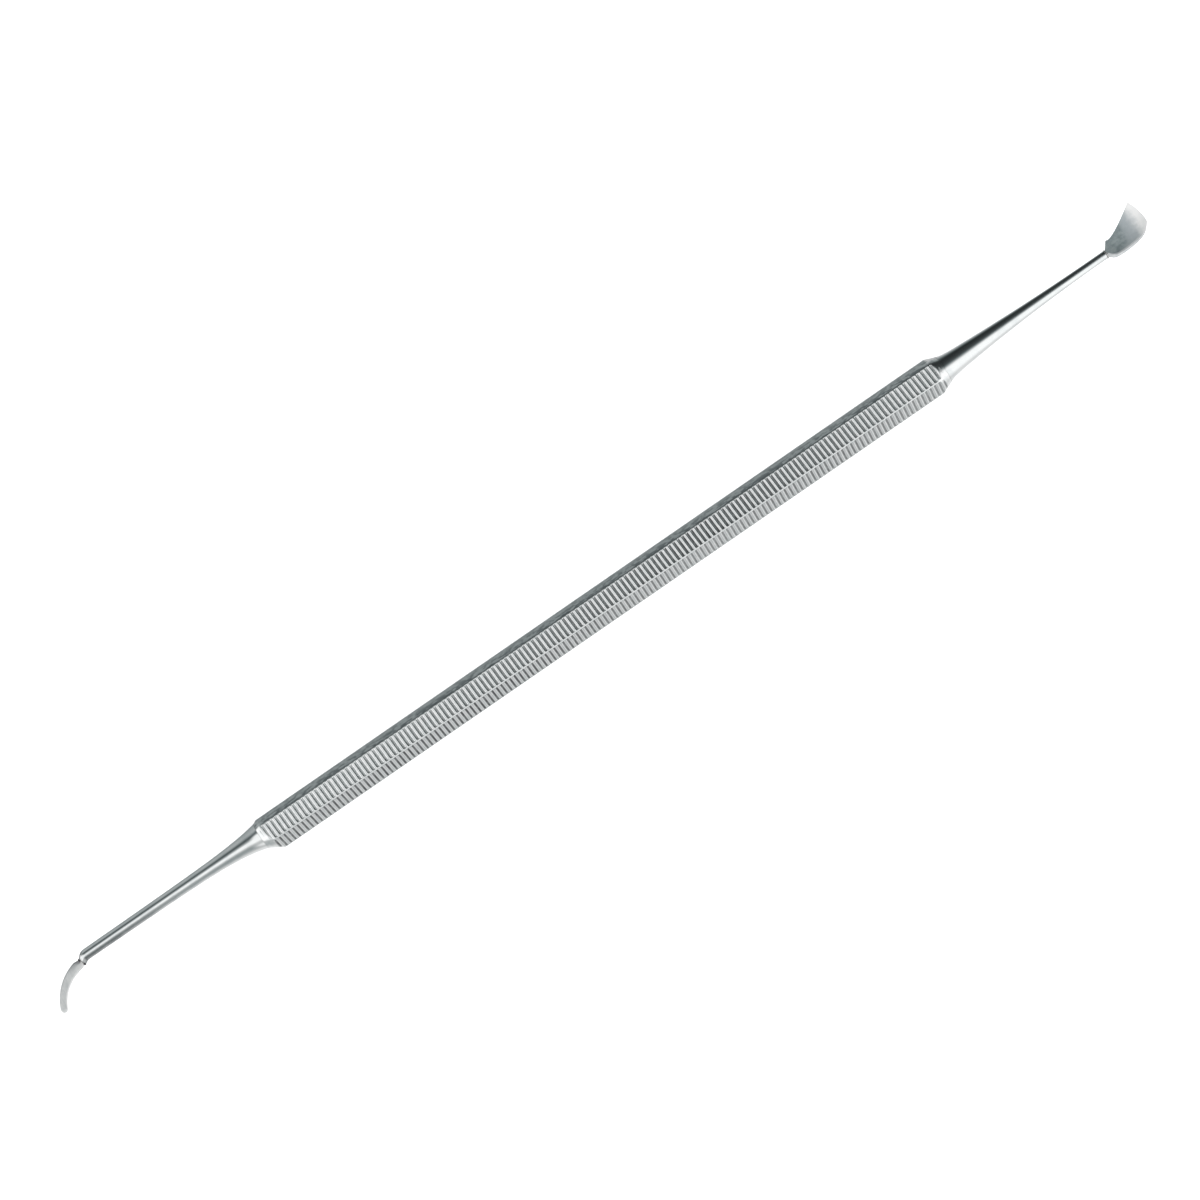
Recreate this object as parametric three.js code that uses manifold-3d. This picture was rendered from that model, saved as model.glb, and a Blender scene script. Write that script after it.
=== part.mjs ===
// A double-ended dental hand instrument in stainless steel. A six-sided ribbed handle has a shank pressed
// into each end. One shank carries a curved flat pick, and the other a small dished scoop. Millimetres, with
// +X along the handle towards the scoop and +Z up. The origin is the middle of the flat it lies on.
import * as THREE from "three";
import { mergeGeometries, mergeVertices } from "three/addons/utils/BufferGeometryUtils.js";
import Module from "manifold-3d";

const wasm = await Module();
wasm.setup();

const degree = Math.PI / 180;

// Handle: six-sided bar, with its ends turned down to meet the shanks
const handleAcrossFlats = 4.45;
const handleLength = 105;
const handleCornerRadius = 0.3;
const handleCornerSteps = 2;

// Ribs: the lands between grooves that lie across four of the six flats
const ribbedFlats = [0, 1, 3, 4]; // sixths of a turn from the top flat; flats 2 and 5 stay smooth
const staggeredFlats = [1, 4]; // ribbed flats whose grooves are shifted along the handle
const grooveShift = -0.06; // along the handle, from its middle to the middle of the grooves
const grooveStagger = 0.27; // further shift on the staggered flats
const grooveSlant = 2.4 * degree; // turn of the other flats' grooves from square across the handle
const groovePitch = 0.68;
const grooveWidth = 0.38;
const grooveDepth = 0.12;
const grooveRunOut = 0.12; // length over which a groove's bottom rises to the surface at each end
const grooveEdgeMargin = 0.02; // plain strip between a groove's end and the rounded corner
const ribEndMargin = 0.25; // plain length kept between the last groove and the end of the handle

// Fits between the pieces
const pressClearance = 0.03; // all round each tang in its hole
const seatGap = 0.02; // between faces that are driven home against each other
const tangEndRoom = 0.3; // free depth past the end of each tang

// Tangs that hold the shanks in the handle
const handleTangDiameter = 2.6;
const handleTangLength = 12;
const handleTangChamfer = 0.3;

// Shanks. Each tapers from its root to its tip. At the handle it swells into a shoulder, and the round joint
// there lies a little to one side of the handle's axis. The handle is turned down to the joint at its slope.
const pickShank = {
  joint: { diameter: 3.75, offset: -0.4, slope: 31 * degree },
  length: 26.9,
  rootDiameter: 1.72,
  tipDiameter: 1.49,
  taperPower: 1,
  shoulderFade: 3.8, // distance over which the shoulder dies away
  sideStep: -0.27, // how much further sideways the shank runs past the joint
  sideStepFade: 4,
  // The bend just before the blade. The shank's end is cut at the face angle, so it isn't square to the bend.
  knee: { angle: 38 * degree, faceAngle: 22 * degree, insideRadius: 0.12, straight: 0.5, endDiameter: 1.15 },
};
const scoopShank = {
  joint: { diameter: 3.85, offset: 0.05, slope: 22 * degree },
  length: 25.3,
  rootDiameter: 3.32,
  tipDiameter: 1.12,
  taperPower: 2,
  shoulderFade: 0.7,
  sideStep: 0.4,
  sideStepFade: 16,
};

// Pick blade: a flat strip on an arc
const pickRootAngle = 4 * degree;
const pickTipAngle = 68 * degree;
const pickArcRadius = 5.96;
const pickRootWidth = 0.95;
const pickShoulderWidth = 1.3; // where it is widest, just past its root
const pickShoulderAngle = 8 * degree; // turn of the arc from the root to there
const pickTipWidth = 0.92;
const pickThickness = 0.45;
const pickEdgeBevel = 0.08;
const pickTang = { length: 0.8, width: 0.5, thickness: 0.28 };

// Scoop blade: a dished plate past a short neck. Its edges are drawn from the end of the shank.
const scoopNeckWidth = 0.9;
const scoopNeckThickness = 0.52;
const scoopShoulder = [1.05, 1.52];
const scoopUpperCorner = [6.1, 3.92];
const scoopUpperHollow = 0.44; // how far the edge between them bows in
const scoopHollowLean = 0.6; // below 1, it bows in most near the shoulder
const scoopLowerEdge = [[0.8, -0.98], [1.6, -1.17], [2.9, -1.17], [4.4, -1], [5.7, -0.57], [6.68, 0.4]];
const scoopPlateThickness = 0.32;
const scoopCuttingThickness = 0.1;
const scoopDishDepth = 0.42;
const scoopCurl = 0.5; // how far the cutting edge is raised above the neck
const scoopEndBulge = 0.34; // how far the cutting edge bows out between its corners
const scoopRimWidth = 0.36; // bevel along the lower edge
const scoopCuttingRimWidth = 0.11; // the same at the cutting edge
const scoopRimDrop = 0.26;
const scoopRimDropShare = 0.7; // the most of the plate's thickness that the bevel takes
const scoopOpening = 0.3; // share of the blade's length over which its neck opens into the dish
const scoopShoulderShare = 0.14; // share of the blade's length at its shoulder
const scoopTang = { length: 3, width: 0.62, thickness: 0.42 };

// Beads of braze around the root of each blade
const pickBead = { wall: 0.06, height: 0.2 };
const scoopBead = { wall: 0.07, height: 0.22 };
const beadCrownAngle = 75 * degree; // how far each bead's round outside turns in

// Facets
const roundSides = 24;
const turnedSides = 48;
const shankSteps = 18;
const kneeSteps = 6;
const pickArcSteps = 16;
const pickTipSteps = 8;
const scoopSteps = 14;
const scoopStepGrowth = 1.3; // above 1, the sections crowd towards the neck
const scoopSpanSteps = 8;
const beadSteps = 4;
const mergeDistance = 1e-4;

const handleAcrossCorners = handleAcrossFlats / Math.cos(30 * degree);
const plainFlatWidth = (handleAcrossFlats - 2 * handleCornerRadius) * Math.tan(30 * degree);
const axisHeight = handleAcrossFlats / 2;
const boreDiameter = handleTangDiameter + 2 * pressClearance;
const boreDepth = handleTangLength + tangEndRoom;

const ribbedSteel = { color: 0xbcc2c4, roughness: 0.24, metalness: 1 };
const polishedSteel = { color: 0xc9ced0, roughness: 0.12, metalness: 1 };
const satinSteel = { color: 0xb4b9ba, roughness: 0.42, metalness: 1 };
const silverBraze = { color: 0xd6d4cc, roughness: 0.3, metalness: 1 };

// A number from 0 to 1 that eases in and out as value goes from 0 to 1.
function ease(value) {
  const t = THREE.MathUtils.clamp(value, 0, 1);
  return t * t * (3 - 2 * t);
}

function indexedGeometry(points, indices) {
  const geometry = new THREE.BufferGeometry();
  geometry.setAttribute("position", new THREE.Float32BufferAttribute(points.flat(), 3));
  geometry.setIndex(indices);
  return geometry;
}

// A closed solid through rings of [x, y, z] points that run along +X. Every ring has the same even number of
// points, going from the top towards +Y, and each end is closed by a strip across its ring.
function loft(rings) {
  const count = rings[0].length;
  const last = (rings.length - 1) * count;
  const indices = [];
  for (let k = 0; k < last; k += count) {
    for (let i = 0; i < count; i++) {
      const here = k + i;
      const next = k + ((i + 1) % count);
      indices.push(here, here + count, next, next, here + count, next + count);
    }
  }
  for (let i = 0; i < count / 2 - 1; i++) {
    const across = count - 1 - i;
    indices.push(i, i + 1, across, i + 1, across - 1, across);
    indices.push(last + i, last + across, last + i + 1, last + i + 1, last + across, last + across - 1);
  }
  return indexedGeometry(rings.flat(), indices);
}

function circle(x, radius) {
  return Array.from({ length: roundSides }, (_, i) => {
    const angle = (i / roundSides) * 360 * degree;
    return [x, radius * Math.sin(angle), radius * Math.cos(angle)];
  });
}

// A rectangular bar along X, from x = start to x = end.
function bar(start, end, width, thickness) {
  return new THREE.BoxGeometry(end - start, width, thickness).translate((start + end) / 2, 0, 0);
}

// Geometry as a solid that can be joined and cut.
function solidOf(geometry) {
  const bare = geometry.clone();
  bare.deleteAttribute("normal");
  bare.deleteAttribute("uv");
  const merged = mergeVertices(bare, mergeDistance);
  return new wasm.Manifold(
    new wasm.Mesh({
      numProp: 3,
      vertProperties: new Float32Array(merged.attributes.position.array),
      triVerts: new Uint32Array(merged.index.array),
    }),
  );
}

function namedMesh(name, solid, finish) {
  const { vertProperties, triVerts } = solid.getMesh();
  const geometry = new THREE.BufferGeometry();
  geometry.setAttribute("position", new THREE.BufferAttribute(new Float32Array(vertProperties), 3));
  geometry.setIndex(new THREE.BufferAttribute(new Uint32Array(triVerts), 1));
  const mesh = new THREE.Mesh(geometry.toNonIndexed(), new THREE.MeshStandardMaterial(finish));
  mesh.geometry.computeVertexNormals();
  mesh.name = name;
  return mesh;
}

// The six-sided bar with rounded corners, centred on the origin.
function hexagonalBar() {
  const cornerCentre = (handleAcrossCorners / 2) - handleCornerRadius / Math.cos(30 * degree);
  const outline = [];
  for (let corner = 30; corner < 360; corner += 60) {
    for (let step = 0; step <= handleCornerSteps; step++) {
      const around = (corner - 30 + (60 * step) / handleCornerSteps) * degree;
      outline.push(
        new THREE.Vector2(
          cornerCentre * Math.cos(corner * degree) + handleCornerRadius * Math.cos(around),
          cornerCentre * Math.sin(corner * degree) + handleCornerRadius * Math.sin(around),
        ),
      );
    }
  }
  const section = new THREE.Shape(outline);
  const extruded = new THREE.ExtrudeGeometry(section, { depth: handleLength, bevelEnabled: false });
  return solidOf(extruded.translate(0, 0, -handleLength / 2).rotateY(90 * degree));
}

// What a lathe leaves of the bar at its +X end: a cone that opens from the joint until it clears the corners.
function turnedEnvelope({ diameter, offset, slope }) {
  const end = handleLength / 2;
  const clear = handleAcrossCorners / 2 + Math.abs(offset);
  const turned = (clear - diameter / 2) / Math.tan(slope);
  const profile = [
    [0, -handleLength],
    [clear, -handleLength],
    [clear, end - turned],
    [diameter / 2, end],
    [0, end],
  ];
  const lathe = new THREE.LatheGeometry(profile.map(([r, x]) => new THREE.Vector2(r, x)), turnedSides);
  return lathe.rotateZ(-90 * degree).translate(0, offset, 0);
}

// The cutter of one groove: a boat shape that is a V across and runs out at both ends. It lies across the top
// flat, and its slopes carry on past the surface, so that it cuts cleanly.
function grooveCutter() {
  const surface = handleAcrossFlats / 2;
  const above = grooveDepth / 2;
  const spread = (grooveDepth + above) / grooveDepth;
  const bottomLength = plainFlatWidth / 2 - grooveEdgeMargin - grooveRunOut;
  const topLength = bottomLength + grooveRunOut * spread;
  const topWidth = (grooveWidth / 2) * spread;
  const corners = [
    [-topWidth, -topLength, surface + above],
    [topWidth, -topLength, surface + above],
    [topWidth, topLength, surface + above],
    [-topWidth, topLength, surface + above],
    [0, -bottomLength, surface - grooveDepth],
    [0, bottomLength, surface - grooveDepth],
  ];
  const faces = [0, 1, 2, 0, 2, 3, 0, 4, 1, 2, 5, 3, 1, 4, 5, 1, 5, 2, 0, 3, 5, 0, 5, 4];
  return indexedGeometry(corners, faces);
}

// The grooves of all ribbed flats. Each flat has the same even number of them.
function allGrooves() {
  const room = handleLength / 2 - ribEndMargin - grooveWidth / 2;
  const halfCount = Math.round(room / groovePitch);
  const one = grooveCutter();
  const grooves = ribbedFlats.flatMap((flat) => {
    const staggered = staggeredFlats.includes(flat);
    const shift = grooveShift + (staggered ? grooveStagger : 0);
    const turned = one.clone().rotateZ(staggered ? 0 : grooveSlant);
    return Array.from({ length: 2 * halfCount }, (_, i) => {
      const along = (i + 0.5 - halfCount) * groovePitch + shift;
      return turned.clone().translate(along, 0, 0).rotateX(flat * 60 * degree);
    });
  });
  return solidOf(mergeGeometries(grooves));
}

function handle() {
  const end = handleLength / 2;
  const mouth = end + tangEndRoom;
  const radius = boreDiameter / 2;
  const bore = (start, finish) => solidOf(loft([circle(start, radius), circle(finish, radius)]));
  const blank = hexagonalBar()
    .intersect(solidOf(turnedEnvelope(scoopShank.joint)))
    .intersect(solidOf(turnedEnvelope(pickShank.joint).rotateZ(180 * degree)));
  const drilled = blank.subtract(bore(end - boreDepth, mouth)).subtract(bore(-mouth, boreDepth - end));
  const mesh = namedMesh("handle", drilled.subtract(allGrooves()), ribbedSteel);
  mesh.position.z = axisHeight;
  return mesh;
}

function kneeRadius({ knee, tipDiameter }) {
  return knee ? knee.insideRadius + tipDiameter / 2 : 0;
}

function kneeLength(shank) {
  return shank.knee ? kneeRadius(shank) * shank.knee.angle + shank.knee.straight : 0;
}

// The middle line of a shank at distance s from the handle: its point, and which way its section faces there.
function shankLine(shank, s) {
  const radius = kneeRadius(shank);
  const pastLength = Math.max(s - shank.length, 0);
  const bend = shank.knee ? Math.min(pastLength / radius, shank.knee.angle) : 0;
  const pastBend = pastLength - radius * bend;
  const step = shank.joint.offset + shank.sideStep * (1 - Math.exp(-s / shank.sideStepFade));
  return {
    x: seatGap + Math.min(s, shank.length) + radius * Math.sin(bend) + pastBend * Math.cos(bend),
    y: step + radius * (1 - Math.cos(bend)) + pastBend * Math.sin(bend),
    facing: shank.knee ? (bend * shank.knee.faceAngle) / shank.knee.angle : 0,
  };
}

function shankEnd(shank) {
  return shankLine(shank, shank.length + kneeLength(shank));
}

function shankDiameter(shank, s) {
  const left = Math.max(1 - s / shank.length, 0) ** shank.taperPower;
  const taper = THREE.MathUtils.lerp(shank.tipDiameter, shank.rootDiameter, left);
  const shoulder = (shank.joint.diameter - shank.rootDiameter) * Math.exp(-s / shank.shoulderFade);
  if (s <= shank.length) return taper + shoulder;
  const intoKnee = ease((s - shank.length) / kneeLength(shank));
  return taper + shoulder - (shank.tipDiameter - shank.knee.endDiameter) * intoKnee;
}

function shankRing(shank, s) {
  const { x, y, facing } = shankLine(shank, s);
  return circle(0, shankDiameter(shank, s) / 2).map(([, side, up]) => [
    x - side * Math.sin(facing),
    y + side * Math.cos(facing),
    up,
  ]);
}

// A shank with its tang, along +X from the end of the handle, with a blind hole for its blade's tang.
function shankSolid(shank, bladeTang) {
  const tangRadius = handleTangDiameter / 2;
  const stations = Array.from({ length: shankSteps + 1 }, (_, i) => shank.length * (i / shankSteps) ** 2);
  if (shank.knee) {
    for (let i = 1; i <= kneeSteps; i++) stations.push(shank.length + (kneeLength(shank) * i) / kneeSteps);
  }
  const body = loft([
    circle(-handleTangLength, tangRadius - handleTangChamfer),
    circle(handleTangChamfer - handleTangLength, tangRadius),
    circle(seatGap, tangRadius),
    ...stations.map((s) => shankRing(shank, s)),
  ]);
  const hole = bar(
    -bladeTang.length - tangEndRoom,
    tangEndRoom,
    bladeTang.width + 2 * pressClearance,
    bladeTang.thickness + 2 * pressClearance,
  );
  const { x, y, facing } = shankEnd(shank);
  return solidOf(body).subtract(solidOf(hole.rotateZ(facing).translate(x, y, 0)));
}

// The pick's middle line, at an angle along its arc. It is set out from the end of the shank, which already
// faces down by the knee's face angle, and it starts inside the bead.
const pickStartAngle = pickRootAngle - pickShank.knee.faceAngle;
function pickLine(angle) {
  const turned = angle - pickShank.knee.faceAngle;
  return {
    x: seatGap + pickBead.height / 2 + pickArcRadius * (Math.sin(turned) - Math.sin(pickStartAngle)),
    y: pickArcRadius * (Math.cos(pickStartAngle) - Math.cos(turned)),
    turned,
  };
}

// The pick's width at an angle along its arc: it widens to its shoulder and narrows evenly to its tip.
function pickWidth(angle) {
  const shoulderAt = pickRootAngle + pickShoulderAngle;
  const widened = ease((angle - pickRootAngle) / pickShoulderAngle);
  return angle < shoulderAt
    ? THREE.MathUtils.lerp(pickRootWidth, pickShoulderWidth, widened)
    : THREE.MathUtils.mapLinear(angle, shoulderAt, pickTipAngle, pickShoulderWidth, pickTipWidth);
}

// The pick: a strip with bevelled edges and a round tip, cut square at the shank's end, with its tang.
function pickBlade() {
  const runBack = pickRootWidth / pickArcRadius;
  const turn = pickTipAngle - pickRootAngle;
  const steps = Array.from({ length: pickArcSteps + 1 }, (_, i) => {
    const angle = pickRootAngle - runBack + (turn + runBack) * (i / pickArcSteps);
    return { ...pickLine(angle), half: pickWidth(angle) / 2 - pickEdgeBevel };
  });
  const side = (sign) => ({ x, y, turned, half }) =>
    new THREE.Vector2(x - sign * half * Math.sin(turned), y + sign * half * Math.cos(turned));
  const tip = steps[pickArcSteps];
  const roundTip = Array.from({ length: pickTipSteps - 1 }, (_, i) => {
    const around = tip.turned - 90 * degree + ((i + 1) / pickTipSteps) * 180 * degree;
    return new THREE.Vector2(tip.x + tip.half * Math.cos(around), tip.y + tip.half * Math.sin(around));
  });
  const outline = [...steps.map(side(-1)), ...roundTip, ...steps.map(side(1)).reverse()];
  const strip = new THREE.ExtrudeGeometry(new THREE.Shape(outline), {
    depth: pickThickness - 2 * pickEdgeBevel,
    bevelThickness: pickEdgeBevel,
    bevelSize: pickEdgeBevel,
    bevelSegments: 1,
  });
  strip.translate(0, 0, pickEdgeBevel - pickThickness / 2);
  const tang = bar(-pickTang.length, seatGap + pickBead.height, pickTang.width, pickTang.thickness);
  return solidOf(strip).trimByPlane([1, 0, 0], seatGap).add(solidOf(tang));
}

// A hump that is 0 at both ends of the span from 0 to 1, and 1 in the middle.
function humpOf(t) {
  return 4 * t * (1 - t);
}

// A point of the scoop's upper edge. Share is 0 at the neck and 1 at the cutting edge.
const scoopNeckEnd = seatGap + scoopBead.height;
function scoopUpperEdgeAt(share) {
  const neck = new THREE.Vector2(scoopNeckEnd, scoopNeckWidth / 2);
  const shoulder = new THREE.Vector2(...scoopShoulder);
  const corner = new THREE.Vector2(...scoopUpperCorner);
  if (share < scoopShoulderShare) return neck.lerp(shoulder, share / scoopShoulderShare);
  const along = (share - scoopShoulderShare) / (1 - scoopShoulderShare);
  const point = shoulder.lerp(corner, along);
  return point.setY(point.y - scoopUpperHollow * humpOf(along ** scoopHollowLean));
}

const scoopLowerCurve = new THREE.SplineCurve([
  new THREE.Vector2(scoopNeckEnd, -scoopNeckWidth / 2),
  ...scoopLowerEdge.map(([x, y]) => new THREE.Vector2(x, y)),
]);

// A section of the scoop between its edges: over the top from the lower edge, and back underneath.
function scoopRing(share) {
  const upper = scoopUpperEdgeAt(share);
  const lower = scoopLowerCurve.getPoint(share);
  const opened = ease(share / scoopOpening);
  const rim = THREE.MathUtils.lerp(scoopRimWidth, scoopCuttingRimWidth, share) / upper.distanceTo(lower);
  const plate = THREE.MathUtils.lerp(scoopPlateThickness, scoopCuttingThickness, share);
  const thickness = THREE.MathUtils.lerp(scoopNeckThickness, plate, opened);
  const drop = Math.min(scoopRimDrop, thickness * scoopRimDropShare) * opened;
  const top = [];
  const under = [];
  for (let i = 0; i <= scoopSpanSteps; i++) {
    const inside = Math.max(i - 1, 0) / (scoopSpanSteps - 1);
    const across = i === 0 ? 0 : THREE.MathUtils.lerp(rim, 1, inside);
    const x = THREE.MathUtils.lerp(lower.x, upper.x, across) + scoopEndBulge * humpOf(across) * share;
    const y = THREE.MathUtils.lerp(lower.y, upper.y, across);
    const middle = scoopCurl * share ** 2 - scoopDishDepth * humpOf(inside) * opened;
    top.push([x, y, middle + thickness / 2 - (i === 0 ? drop : 0)]);
    under.push([x, y, middle - thickness / 2]);
  }
  return [...top, ...under.reverse()];
}

function scoopBlade() {
  const shares = Array.from({ length: scoopSteps + 1 }, (_, i) => (i / scoopSteps) ** scoopStepGrowth);
  const sections = shares.map(scoopRing);
  const neck = sections[0].map(([, y, z]) => [seatGap, y, z]);
  const tang = bar(-scoopTang.length, scoopNeckEnd, scoopTang.width, scoopTang.thickness);
  return solidOf(loft([neck, ...sections])).add(solidOf(tang));
}

// A bead of braze: a ring with a quarter-round outside, cut to clear the root of its blade.
function beadSolid(bead, root) {
  const grown = 2 * pressClearance;
  const slot = bar(-root.width, root.width, root.width + grown, root.thickness + grown);
  const reach = Math.hypot(root.width / Math.cos(root.heading), root.thickness) / 2;
  const outside = reach + pressClearance + bead.wall;
  const rings = Array.from({ length: beadSteps + 1 }, (_, i) => {
    const around = (i / beadSteps) * beadCrownAngle;
    return circle(seatGap + bead.height * Math.sin(around), outside - bead.height * (1 - Math.cos(around)));
  });
  slot.rotateZ(root.heading).translate(seatGap + bead.height / 2, 0, 0);
  return solidOf(loft(rings)).subtract(solidOf(slot));
}

// A shank with its blade and bead, along +X from the end of the handle.
function workingEnd(name, shank, tang, blade, bead) {
  const { x, y, facing } = shankEnd(shank);
  const tip = new THREE.Group();
  tip.position.set(x, y, 0);
  tip.rotation.z = facing;
  tip.add(namedMesh(`${name}_blade`, blade, satinSteel));
  tip.add(namedMesh(`${name}_braze_bead`, bead, silverBraze));
  const end = new THREE.Group();
  end.position.z = axisHeight;
  end.add(namedMesh(`${name}_shank`, shankSolid(shank, tang), polishedSteel), tip);
  return end;
}

const pickRoot = { width: pickRootWidth, thickness: pickThickness, heading: pickStartAngle };
const pickEnd = workingEnd("pick", pickShank, pickTang, pickBlade(), beadSolid(pickBead, pickRoot));
pickEnd.position.x = -handleLength / 2;
pickEnd.rotation.z = 180 * degree;

const scoopRoot = { width: scoopNeckWidth, thickness: scoopNeckThickness, heading: 0 };
const scoopEnd = workingEnd("scoop", scoopShank, scoopTang, scoopBlade(), beadSolid(scoopBead, scoopRoot));
scoopEnd.position.x = handleLength / 2;

const instrument = new THREE.Group();
instrument.add(handle(), pickEnd, scoopEnd);

export default instrument;
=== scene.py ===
import math

import bpy
import numpy as np
from mathutils import Matrix, Vector


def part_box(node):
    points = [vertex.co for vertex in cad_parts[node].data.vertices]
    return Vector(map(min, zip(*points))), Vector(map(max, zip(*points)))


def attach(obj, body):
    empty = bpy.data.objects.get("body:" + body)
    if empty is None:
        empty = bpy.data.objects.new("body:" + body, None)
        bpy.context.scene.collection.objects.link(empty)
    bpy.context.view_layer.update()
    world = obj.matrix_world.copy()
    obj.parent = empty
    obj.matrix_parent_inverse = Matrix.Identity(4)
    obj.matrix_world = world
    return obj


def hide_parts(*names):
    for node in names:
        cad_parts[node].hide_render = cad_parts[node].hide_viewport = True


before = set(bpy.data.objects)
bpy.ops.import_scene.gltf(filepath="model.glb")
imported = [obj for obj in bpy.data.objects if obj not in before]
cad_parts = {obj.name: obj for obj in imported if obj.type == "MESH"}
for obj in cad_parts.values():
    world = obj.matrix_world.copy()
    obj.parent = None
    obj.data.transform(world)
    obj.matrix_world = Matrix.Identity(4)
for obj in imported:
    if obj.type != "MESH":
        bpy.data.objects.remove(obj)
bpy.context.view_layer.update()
print("frame loaded:", sorted(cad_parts))

# The pieces' sizes are in millimetres and their angles in degrees
mm = 0.001
sixth = math.radians(60)  # of a turn


# Lowest and highest corner of a node's box.
def boxOf(node):
    return [np.array(corner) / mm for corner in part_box(node)]


handleLow, handleHigh = boxOf("handle")
axisHeight = (handleLow[2] + handleHigh[2]) / 2
handleEnd = handleHigh[0]

# How the pieces meet, as the frame has them
fits = {
    "clearance": 0.03,  # round each tang in its hole
    "seatGap": 0.02,  # between faces that are driven home against each other
    "endRoom": 0.3,  # past the end of each tang
    "tangRadius": 1.3,  # of a shank, in the handle's bore
    "tangLength": 12.0,
    "tangChamfer": 0.3,
}


def lerp(a, b, t):
    return a + (b - a) * t


# Goes evenly from 0 to 1 as a value goes from one limit to another, and stays level beyond them. The second
# limit may be the lesser.
def ramp(value, start, end):
    return np.clip((value - start) / (end - start), 0.0, 1.0)


# The same, eased at both limits: t squared times three minus two t.
def rise(value, start, end):
    t = ramp(value, start, end)
    return t * t * (3.0 - 2.0 * t)


# A closed skin over rings of points. Rings run along +X and each one goes from the top towards +Y. Quads
# join neighbouring rings. The ends are closed by strips across them, or the last ring joins the first.
def skin(name, rings, closed="ends", smoothAngle=50.0, attributes=None):
    rows, columns, _ = rings.shape
    index = np.arange(rows * columns).reshape(rows, columns)
    below = index if closed == "loop" else index[:-1]
    above = np.roll(index, -1, axis=0) if closed == "loop" else index[1:]
    sides = np.stack([below, above, np.roll(above, -1, axis=1), np.roll(below, -1, axis=1)], axis=-1)
    faces = [sides.reshape(-1, 4)]
    if closed == "ends":
        near = np.arange(columns // 2 - 1)
        strip = np.stack([near, near + 1, columns - 2 - near, columns - 1 - near], axis=-1)
        faces += [index[0][strip], index[-1][strip][:, ::-1]]
    mesh = bpy.data.meshes.new(name)
    mesh.from_pydata((rings.reshape(-1, 3) * mm).tolist(), [], np.concatenate(faces).tolist())
    mesh.polygons.foreach_set("use_smooth", np.ones(len(mesh.polygons), bool))
    mesh.set_sharp_from_angle(angle=math.radians(smoothAngle))
    for label, values in (attributes or {}).items():
        layer = mesh.attributes.new(label, "FLOAT", "POINT")
        layer.data.foreach_set("value", np.asarray(values, np.float32).ravel())
    mesh.update()
    piece = bpy.data.objects.new(name, mesh)
    bpy.context.scene.collection.objects.link(piece)
    print(name, "has", sum(len(part) for part in faces), "faces")
    return piece


# Angles of a ring's points: equal steps from the top towards +Y.
def aroundRing(columns):
    return np.arange(columns) * (2 * math.pi / columns)


# A circle square to X, with a point at each angle.
def circle(x, radius, angle):
    return np.stack([np.full(len(angle), x), radius * np.sin(angle), radius * np.cos(angle)], axis=-1)


# A rectangle square to X. Its points are half a step on from a circle's, and the reach of each one is the
# lesser of half the width over the angle's sine and half the thickness over its cosine.
def rectangle(x, width, thickness, columns):
    angle = aroundRing(columns) + math.pi / columns
    side, up = np.sin(angle), np.cos(angle)
    reach = np.minimum(
        width / 2 / np.maximum(np.abs(side), 1e-6),
        thickness / 2 / np.maximum(np.abs(up), 1e-6),
    )
    return np.stack([np.full(columns, x), reach * side, reach * up], axis=-1)


# Finishes a piece: its material, the node that it stands for and the body it moves with.
def dress(piece, material, node):
    piece.data.materials.append(material)
    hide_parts(node)
    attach(piece, "root")


# One socket of a node tree, with arithmetic that adds Math nodes.
class Wire:
    def __init__(self, graph, socket):
        self.graph = graph
        self.socket = socket

    def maths(self, operation, left, right):
        return self.graph.make("ShaderNodeMath", {"operation": operation}, {0: left, 1: right})

    def __add__(self, other):
        return self.maths("ADD", self, other)

    def __radd__(self, other):
        return self.maths("ADD", other, self)

    def __sub__(self, other):
        return self.maths("SUBTRACT", self, other)

    def __rsub__(self, other):
        return self.maths("SUBTRACT", other, self)

    def __mul__(self, other):
        return self.maths("MULTIPLY", self, other)

    def __rmul__(self, other):
        return self.maths("MULTIPLY", other, self)

    def __truediv__(self, other):
        return self.maths("DIVIDE", self, other)

    def __rtruediv__(self, other):
        return self.maths("DIVIDE", other, self)


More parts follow.
